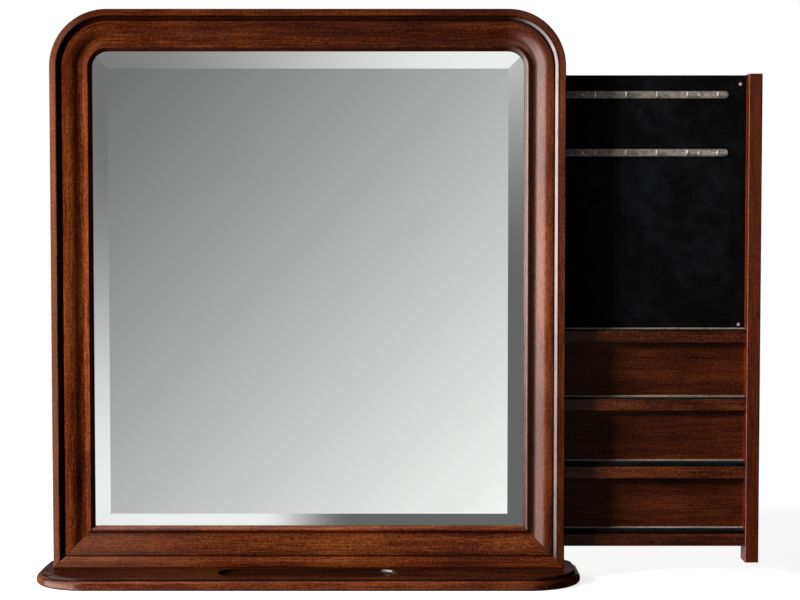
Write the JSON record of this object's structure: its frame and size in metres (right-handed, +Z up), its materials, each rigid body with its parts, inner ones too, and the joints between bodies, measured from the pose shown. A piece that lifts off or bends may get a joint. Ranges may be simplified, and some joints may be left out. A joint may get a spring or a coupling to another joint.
{
  "type": "storage mirror",
  "caption": "Dresser mirror with a moulded round-cornered frame on a base with a tray; a felt jewellery panel with hooks and pockets slides out of its side.",
  "frame": {"origin": "on the underside of the base board, midway between its ends, below the front plane of the frame", "axes": "+X to the right as seen from the front, the way the panel comes out; +Y to the back; +Z up"},
  "size_m": [1.4585, 0.1957, 1.145],
  "materials": {
    "cherry_lacquer": "glossy lacquer over dark cherry",
    "pocket_veneer": "satin lacquer over horizontal grain",
    "bead_lacquer": "high gloss lacquer",
    "plywood": "sanded plywood, thin stain",
    "hardboard": "smooth hardboard",
    "beech": "raw beech",
    "felt": "black felt",
    "mirror": "silvered float glass with a wide bevel",
    "strip_steel": "brushed along its length",
    "slide_zinc": "zinc plated sheet",
    "cage_steel": "plain pressed steel",
    "ball_steel": "polished bearing steel",
    "screw_zinc": "zinc plated",
    "brass": "turned brass"
  },
  "bodies": {
    "case": {"frame_left_stile": "cherry_lacquer", "frame_right_stile": "cherry_lacquer", "frame_top_rail": "cherry_lacquer", "frame_bottom_rail": "cherry_lacquer", "frame_left_corner": "cherry_lacquer", "frame_right_corner": "cherry_lacquer", "base_board": "cherry_lacquer", "case_left_side": "cherry_lacquer", "case_left_corner": "cherry_lacquer", "case_top": "cherry_lacquer", "case_right_corner": "cherry_lacquer", "case_bottom": "cherry_lacquer", "case_back": "plywood", "mirror_backing": "hardboard", "frame_dowels": "beech", "case_dowels": "beech", "glass_shims": "beech", "mirror_glass": "mirror", "upper_outer_member": "slide_zinc", "lower_outer_member": "slide_zinc", "backing_clips": "slide_zinc", "clip_screws": "screw_zinc", "back_screws": "screw_zinc", "base_screws": "screw_zinc", "outer_slide_screws": "screw_zinc", "support_inserts": "brass"},
    "slide_out": {"end_board": "cherry_lacquer", "panel_board": "plywood", "felt_board": "felt", "pocket_back_1": "pocket_veneer", "pocket_back_2": "pocket_veneer", "pocket_back_3": "pocket_veneer", "pocket_cheek": "cherry_lacquer", "shelf_1": "cherry_lacquer", "shelf_2": "cherry_lacquer", "shelf_3": "cherry_lacquer", "shelf_4": "cherry_lacquer", "felt_liner_1": "felt", "felt_liner_2": "felt", "felt_pad_3": "felt", "felt_pad_4": "felt", "shelf_beads": "bead_lacquer", "upper_hook_strip": "strip_steel", "lower_hook_strip": "strip_steel", "upper_hooks": "strip_steel", "lower_hooks": "strip_steel", "strip_screws": "strip_steel", "felt_board_screws": "strip_steel", "shelf_screws": "screw_zinc", "upper_inner_member": "slide_zinc", "lower_inner_member": "slide_zinc", "inner_slide_screws": "screw_zinc"},
    "middle_members": {"upper_middle_member": "slide_zinc", "lower_middle_member": "slide_zinc"},
    "outer_cages": {"outer_ball_cages": "cage_steel", "outer_balls": "ball_steel"},
    "inner_cages": {"inner_ball_cages": "cage_steel", "inner_balls": "ball_steel"}
  },
  "joints": [
    {"name": "panel_slide", "type": "slide", "parent": "case", "child": "slide_out", "axis": [1, 0, 0], "range_m": [-0.397, 0]},
    {"name": "middle_slide", "type": "slide", "parent": "case", "child": "middle_members", "axis": [1, 0, 0], "range_m": [-0.1985, 0]},
    {"name": "outer_cage_slide", "type": "slide", "parent": "case", "child": "outer_cages", "axis": [1, 0, 0], "range_m": [-0.09925, 0]},
    {"name": "inner_cage_slide", "type": "slide", "parent": "case", "child": "inner_cages", "axis": [1, 0, 0], "range_m": [-0.29775, 0]}
  ],
  "couplings": [
    {"joint": "middle_slide", "follows": "panel_slide", "ratio": 0.5},
    {"joint": "outer_cage_slide", "follows": "panel_slide", "ratio": 0.25},
    {"joint": "inner_cage_slide", "follows": "panel_slide", "ratio": 0.75}
  ]
}
